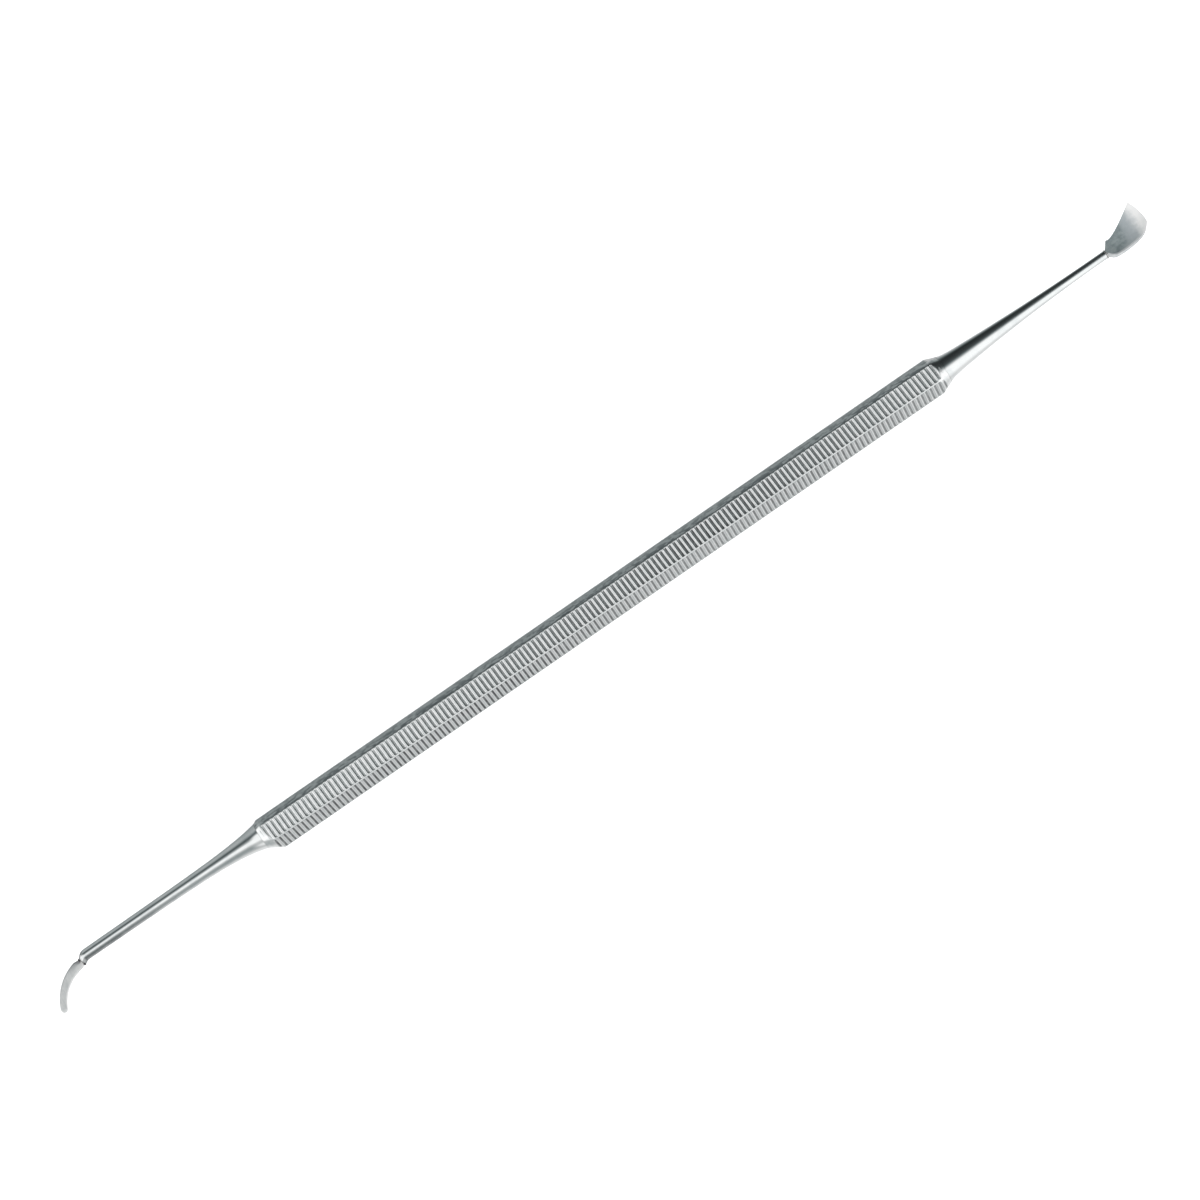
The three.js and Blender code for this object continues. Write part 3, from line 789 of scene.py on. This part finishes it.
# The scoop: a dished plate between two edge lines, given from the end of its shank
scoopLook = {
    "beadHeight": 0.22,
    "neckWidth": 0.9,
    "neckThickness": 0.52,
    "shoulder": (1.05, 1.52),
    "upperCorner": (6.1, 3.92),
    "upperHollow": 0.44,
    "hollowLean": 0.6,  # below 1, it bows in most near the shoulder
    "lowerEdge": ((0.8, -0.98), (1.6, -1.17), (2.9, -1.17), (4.4, -1.0), (5.7, -0.57), (6.68, 0.4)),
    "shoulderShare": 0.14,
    "opening": 0.3,  # share of the length over which the neck opens into the dish
    "plateThickness": 0.32,
    "cuttingThickness": 0.1,
    "dishDepth": 0.42,
    "curl": 0.5,
    "endBulge": 0.34,
    "rimWidth": 0.36,
    "cuttingRimWidth": 0.11,
    "rimDrop": 0.26,
    "rimDropShare": 0.7,  # the most of the plate's thickness that the bevel takes
    "rimPower": 1.3,  # above 1, the bevel is steepest at the edge
    "rows": 80,
    "rowGrowth": 1.3,  # above 1, the rows crowd towards the neck
    "span": 36,
    "rimSteps": 5,
    "smoothAngle": 45.0,
}
# All the scoop's colours are painted reflection: a dark mottled base near the neck, lighter towards the end
# and along the lower rim, with a dark outline by the rim
scoopFinish = {
    "dark": (0.235, 0.28, 0.29, 1.0),
    "light": (0.35, 0.40, 0.405, 1.0),
    "between": (0.455, 0.495, 0.515, 1.0),
    "honed": (0.90, 0.90, 0.895, 1.0),
    "patchiness": 0.35,
    "tarnish": (0.22, 0.24, 0.25, 1.0),
    "cloudScale": 1400.0,
    "lineScale": 4200.0,
    "lineStretch": (0.12, 1.0, 1.0),
    "metallic": 0.6,  # the rest is the matt look of its coarse grinding
    "roughness": 0.85,
    "smoothing": 0.15,
    "relief": 0.3,
    "reliefDepth": 5e-6,  # metres
}

# Where the scoop is painted lighter and where darker, as painted reflection, as shares of its length or
# distances in from its lower edge
scoopShades = {
    "honed": (0.40, 0.92),
    "paintedLightLean": 0.1,  # how much further along the painted light starts at the upper edge than at the lower
    "rim": 0.75,
    "rimBand": (0.56, 0.44),
    "outline": 0.6,
    "outlineBand": (0.12, 0.04),
    "outlineStart": (0.45, 0.65),
}


# A smooth line through points at equal shares: between two points, a cubic whose slope at each is half the
# step between its neighbours.
def smoothLine(points, share):
    points = np.array(points)
    count = len(points) - 1
    piece = np.minimum((share * count).astype(int), count - 1)
    t = (share * count - piece)[:, None]
    before = points[np.maximum(piece - 1, 0)]
    first = points[piece]
    second = points[piece + 1]
    after = points[np.minimum(piece + 2, count)]
    leave, arrive = (second - before) / 2, (after - first) / 2
    bend = (2 * first - 2 * second + leave + arrive) * t**3
    return bend + (-3 * first + 3 * second - 2 * leave - arrive) * t**2 + leave * t + first


# The scoop's two edges, as (along, side). The upper one is straight from the neck to the shoulder and on to
# the corner, less a hollow of 4t(1 - t), and the lower one is a smooth line.
def scoopEdges(share):
    look = scoopLook
    neckEnd = fits["seatGap"] + look["beadHeight"]
    neck = np.array([neckEnd, look["neckWidth"] / 2])
    shoulder, corner = np.array(look["shoulder"]), np.array(look["upperCorner"])
    flare = (share / look["shoulderShare"])[:, None]
    spread = ((share - look["shoulderShare"]) / (1 - look["shoulderShare"]))[:, None]
    upper = np.where(flare < 1.0, lerp(neck, shoulder, flare), lerp(shoulder, corner, spread))
    bow = spread[:, 0].clip(0.0) ** look["hollowLean"]
    upper[:, 1] -= look["upperHollow"] * 4 * bow * (1 - bow)
    return upper, smoothLine([(neckEnd, -look["neckWidth"] / 2), *look["lowerEdge"]], share)


# The scoop's painted reflection: lighter towards its end and along the lower edge, where a darker outline
# runs.
def scoopShading(column, across, fromEdge):
    shades = scoopShades
    honed = ramp(column + shades["paintedLightLean"] * (0.5 - across), *shades["honed"])
    honed = np.maximum(honed, shades["rim"] * rise(fromEdge, *shades["rimBand"]))
    outline = rise(fromEdge, *shades["outlineBand"]) * rise(column, *shades["outlineStart"])
    return honed, shades["outline"] * outline


# The scoop's points: rows between the two edges, dished across as a hump of 4t(1 - t) and curled up along
# the blade by the square of the share. A bevel drops away along the lower edge.
def buildScoop(material):
    look = scoopLook
    share = np.linspace(0.0, 1.0, look["rows"]) ** look["rowGrowth"]
    upper, lower = scoopEdges(share)
    opened = rise(share, 0.0, look["opening"])[:, None]
    column = share[:, None]
    span = np.linalg.norm(upper - lower, axis=1)[:, None]
    rim = lerp(look["rimWidth"], look["cuttingRimWidth"], column) / span
    plate = lerp(look["plateThickness"], look["cuttingThickness"], column)
    thickness = lerp(look["neckThickness"], plate, opened)
    drop = np.minimum(look["rimDrop"], thickness * look["rimDropShare"]) * opened
    steps = np.linspace(0.0, 1.0, look["rimSteps"])[:-1]
    inner = np.linspace(0.0, 1.0, look["span"])
    across = np.concatenate([rim * steps, lerp(rim, 1.0, inner)], axis=1)
    inside = np.concatenate([np.zeros(len(steps)), inner])
    bevel = np.concatenate([1.0 - steps, np.zeros(len(inner))]) ** look["rimPower"]
    x = lerp(lower[:, :1], upper[:, :1], across) + look["endBulge"] * 4 * across * (1 - across) * column
    y = lerp(lower[:, 1:], upper[:, 1:], across)
    middle = look["curl"] * column**2 - look["dishDepth"] * 4 * inside * (1 - inside) * opened
    top = np.stack([x, y, middle + thickness / 2 - drop * bevel], axis=-1)
    under = np.stack([x, y, middle - thickness / 2], axis=-1)
    sections = np.concatenate([top, under[:, ::-1]], axis=1)
    neckRing = sections[0].copy()
    neckRing[:, 0] = fits["seatGap"]
    length, tangWidth, tangThickness = scoopShank["tang"]
    tang = neckRing * np.array([1.0, tangWidth / look["neckWidth"], tangThickness / look["neckThickness"]])
    tangEnd = tang.copy()
    tangEnd[:, 0] = -length
    ends = [tangEnd, tang, neckRing]
    onTang = ((len(ends), 0), (0, 0))
    values = {}
    # Painted reflection on the scoop, the same on its top and its underside
    for label, shade in zip(("honed", "tarnish"), scoopShading(column, across, across * span)):
        values[label] = np.pad(np.concatenate([shade, shade[:, ::-1]], axis=1), onTang)
    placed = atShankEnd(np.concatenate([ends, sections]), scoopShank, 1.0)
    inBox = np.clip(placed, *boxOf("scoop_blade"))
    piece = skin("scoop_plate", inBox, smoothAngle=look["smoothAngle"], attributes=values)
    dress(piece, material, "scoop_blade")


# Beads of braze: a ring with a rounded outside, and a slot through it that clears the root of its blade
pickBead = {
    "wall": 0.06,
    "height": pickLook["beadHeight"],
    "root": (pickLook["rootWidth"], pickLook["thickness"]),
    "heading": pickLook["rootAngle"] - pickShank["faceAngle"],
    # strength of the painted shade at the bead's sides
    "paintedSideShade": 1.0,
}
scoopBead = {
    "wall": 0.07,
    "height": scoopLook["beadHeight"],
    "root": (scoopLook["neckWidth"], scoopLook["neckThickness"]),
    "heading": 0.0,
    "paintedSideShade": 0.0,
}
beadMesh = {
    "columns": 64,
    "rows": 12,
    "crownAngle": 75.0,
    "slotLimit": 0.96,  # the most of the crown's radius that the slot may take
}

# Places across a bead, from -1 to 1, over which the painted shade at its two sides comes in
beadShades = {"outerSide": (0.1, -0.3), "innerSide": (0.45, 0.75)}


# A bead's rings go up its outside, over the crown and down its slot. The outside turns in as a quarter
# circle does.
def buildBead(name, bead, shank, side, material, node):
    columns = beadMesh["columns"]
    width, thickness = bead["root"]
    heading = math.radians(bead["heading"])
    slotWidth = (width + 2 * fits["clearance"]) / math.cos(heading)
    slotThickness = thickness + 2 * fits["clearance"]
    reach = math.hypot(width / math.cos(heading), thickness) / 2
    outside = reach + fits["clearance"] + bead["wall"]
    turn = np.linspace(0.0, math.radians(beadMesh["crownAngle"]), beadMesh["rows"])
    ups = fits["seatGap"] + bead["height"] * np.sin(turn)
    radii = outside - bead["height"] * (1.0 - np.cos(turn))
    outer = [circle(up, radius, aroundRing(columns)) for up, radius in zip(ups, radii)]
    slot = []
    for place in (ups[-1], fits["seatGap"]):
        ring = rectangle(place, slotWidth, slotThickness, columns)
        ring[:, 1] += (place - fits["seatGap"] - bead["height"] / 2) * math.tan(heading)
        limit = beadMesh["slotLimit"] * radii[-1] / np.hypot(ring[:, 1], ring[:, 2])
        ring[:, 1:] *= np.minimum(1.0, limit)[:, None]
        slot.append(ring)
    rings = np.stack(outer + slot)
    across = rings[..., 1] / outside
    # Painted shade at both sides of the bead
    dark = np.maximum(rise(across, *beadShades["outerSide"]), rise(across, *beadShades["innerSide"]))
    values = {"tarnish": bead["paintedSideShade"] * dark}
    piece = skin(name, atShankEnd(rings, shank, side), closed="loop", attributes=values)
    dress(piece, material, node)


print("building the pieces")
polished = polishedSteel()
buildHandle(ribbedSteel())
buildShank("pick_stem", pickShank, -1.0, polished, "pick_shank")
buildShank("scoop_stem", scoopShank, 1.0, polished, "scoop_shank")
buildPick(groundSteel("groundPick", pickFinish))
buildScoop(groundSteel("groundScoop", scoopFinish))
brazeMaterial = silverBraze()
buildBead("pick_bead", pickBead, pickShank, -1.0, brazeMaterial, "pick_braze_bead")
buildBead("scoop_bead", scoopBead, scoopShank, 1.0, brazeMaterial, "scoop_braze_bead")

# Camera: the handle's line runs up to the right, seen from a little towards -Y of straight above
shot = {
    "distance": 0.39,  # metres
    "tilt": 8.7,  # from straight above towards -Y
    "lineAngle": 34.57,  # that the handle's line rises to the right
    "frameWidth": 0.15267,  # metres across the picture at the handle
    "centre": (-0.00005, 0.00069),  # metres, to the point of the handle's plane in the middle of the picture
    "sensorWidth": 36.0,
    "clip": (0.01, 10.0),  # metres
}


def placeCamera():
    tilt = math.radians(shot["tilt"])
    angle = math.radians(shot["lineAngle"])
    back = Vector((0.0, -math.sin(tilt), math.cos(tilt)))
    alongX = Vector((1.0, 0.0, 0.0))
    upward = back.cross(alongX)
    right = alongX * math.cos(angle) - upward * math.sin(angle)
    up = alongX * math.sin(angle) + upward * math.cos(angle)
    target = Vector((*shot["centre"], axisHeight * mm))
    camera = bpy.data.cameras.new("camera")
    camera.sensor_width = shot["sensorWidth"]
    camera.lens = shot["sensorWidth"] * shot["distance"] / shot["frameWidth"]
    camera.clip_start, camera.clip_end = shot["clip"]
    holder = bpy.data.objects.new("camera", camera)
    turned = Matrix((right, up, back)).transposed().to_4x4()
    holder.matrix_world = Matrix.Translation(target + back * shot["distance"]) @ turned
    bpy.context.scene.collection.objects.link(holder)
    bpy.context.scene.camera = holder


# The studio: a white floor and a soft surround with bright and dark parts, which the steel mirrors
studio = {
    "floorSize": 6.0,  # metres
    "floorDrop": 2e-5,  # metres below the handle's lowest flat
    "floorColour": (0.93, 0.93, 0.93, 1.0),
    "floorRoughness": 0.9,
    "floorGlow": 0.55,
    "bright": (1.0, 1.0, 1.0, 1.0),
    "backdrop": (0.5, 0.5, 0.5, 1.0),
}


def buildFloor():
    half = studio["floorSize"] / 2
    corners = [(-half, -half, 0.0), (half, -half, 0.0), (half, half, 0.0), (-half, half, 0.0)]
    mesh = bpy.data.meshes.new("floor")
    mesh.from_pydata(corners, [], [(0, 1, 2, 3)])
    floor = bpy.data.objects.new("floor", mesh)
    floor.location.z = -studio["floorDrop"]
    bpy.context.scene.collection.objects.link(floor)
    material, graph = newMaterial("floorPaper")
    sockets = {
        "Base Color": studio["floorColour"],
        "Roughness": studio["floorRoughness"],
        "Emission Color": studio["bright"],
        "Emission Strength": studio["floorGlow"],
    }
    shader = graph.make("ShaderNodeBsdfPrincipled", {}, sockets)
    graph.make("ShaderNodeOutputMaterial", {}, {"Surface": shader})
    mesh.materials.append(material)
    floor.visible_glossy = False


# Brightness of the surround by direction. The angle round the handle's line, from below through -Y, above
# and +Y, picks a place on each ramp. The ramps are mixed by the direction's X, from the pick's end to the
# scoop's.
surround = {
    "ramps": (
        (
            (0.00, 0.45), (0.22, 0.50), (0.27, 0.60), (0.31, 1.25), (0.72, 1.25), (0.78, 0.40),
            (1.00, 0.45),
        ),
        (
            (0.00, 1.00), (0.09, 0.80), (0.15, 0.50), (0.19, 0.52), (0.24, 0.85), (0.28, 0.98),
            (0.345, 0.60), (0.38, 0.70), (0.43, 1.15), (0.56, 1.10), (0.60, 0.30), (0.63, 0.12),
            (0.665, 0.20), (0.73, 0.50), (0.77, 0.48), (0.84, 0.30), (0.90, 0.32), (1.00, 0.42),
        ),
        (
            (0.00, 1.05), (0.10, 0.95), (0.17, 0.80), (0.22, 0.58), (0.27, 0.42), (0.325, 0.36),
            (0.36, 0.42), (0.40, 0.70), (0.435, 1.12), (0.49, 1.15), (0.525, 0.55), (0.56, 0.22),
            (0.59, 0.11), (0.62, 0.14), (0.66, 0.36), (0.70, 0.50), (0.76, 0.46), (0.83, 0.38),
            (0.90, 0.38), (1.00, 0.50),
        ),
        (
            (0.00, 0.45), (0.12, 0.50), (0.19, 0.56), (0.25, 0.40), (0.29, 0.50), (0.31, 1.10),
            (0.37, 1.10), (0.40, 0.60), (0.47, 0.60), (0.505, 1.24), (0.535, 1.24), (0.565, 0.20),
            (0.60, 0.10), (0.63, 0.30), (0.65, 0.30), (0.68, 0.07), (0.80, 0.07), (0.85, 0.30),
            (0.90, 0.34), (1.00, 0.45),
        ),
        (
            (0.00, 1.05), (0.10, 0.95), (0.15, 0.84), (0.19, 0.84), (0.255, 1.10), (0.30, 1.22),
            (0.42, 1.20), (0.455, 1.00), (0.49, 0.45), (0.52, 0.17), (0.56, 0.07), (0.62, 0.04),
            (0.70, 0.03), (0.74, 0.06), (0.78, 0.18), (0.83, 0.44), (0.88, 0.68), (1.00, 0.74),
        ),
        ((0.00, 0.45), (1.00, 0.45)),
    ),
    # from which X to which X each ramp gives way to the next
    "switches": ((-0.82, -0.66), (-0.56, -0.46), (-0.175, -0.14), (0.14, 0.18), (0.86, 0.94)),
    "strength": 2.0,  # the ramps hold brightness over this, since a colour there stops at 1
    "cool": (0.86, 1.0, 1.02, 1.0),  # tint of its dark parts
    "coolBelow": 0.4,
}


def buildSurround():
    world = bpy.data.worlds.new("surround")
    bpy.context.scene.world = world
    world.use_nodes = True
    graph = Graph(world.node_tree)
    direction = graph.make("ShaderNodeTexCoord", out="Generated")
    parted = graph.make("ShaderNodeSeparateXYZ", {}, {0: direction})
    x, y, z = [Wire(graph, socket) for socket in parted.socket.node.outputs]
    turn = y.maths("ARCTAN2", y, z) / (2 * math.pi) + 0.5
    ramps = []
    for stops in surround["ramps"]:
        greys = [(place, value / surround["strength"]) for place, value in stops]
        colours = [(place, (grey, grey, grey, 1.0)) for place, grey in greys]
        ramps.append(graph.make("ShaderNodeValToRGB", {"stops": colours}, {"Fac": turn}))
    light = ramps[0]
    for following, (low, high) in zip(ramps[1:], surround["switches"]):
        light = graph.mix(graph.step(x, low, high), light, following)
    tint = graph.mix(graph.step(light, 0.0, surround["coolBelow"]), surround["cool"], studio["bright"])
    coloured = graph.mix(1.0, light, tint, blend="MULTIPLY")
    seen = graph.make("ShaderNodeLightPath", out="Is Camera Ray")
    shown = graph.mix(seen, coloured, studio["backdrop"])
    sockets = {"Color": shown, "Strength": surround["strength"]}
    shader = graph.make("ShaderNodeBackground", {}, sockets)
    graph.make("ShaderNodeOutputWorld", {}, {"Surface": shader})


# A broad lamp overhead lights the floor. The steel doesn't mirror it.
lamp = {"size": 1.2, "height": 0.9, "power": 5.0}  # metres, metres and watts


def buildLamp():
    data = bpy.data.lights.new("overhead", "AREA")
    data.shape = "DISK"
    data.size = lamp["size"]
    data.energy = lamp["power"]
    holder = bpy.data.objects.new("overhead", data)
    holder.location.z = lamp["height"]
    holder.visible_glossy = False
    bpy.context.scene.collection.objects.link(holder)


print("setting the stage")
placeCamera()
buildFloor()
buildSurround()
buildLamp()
bpy.context.scene.view_settings.view_transform = "Standard"
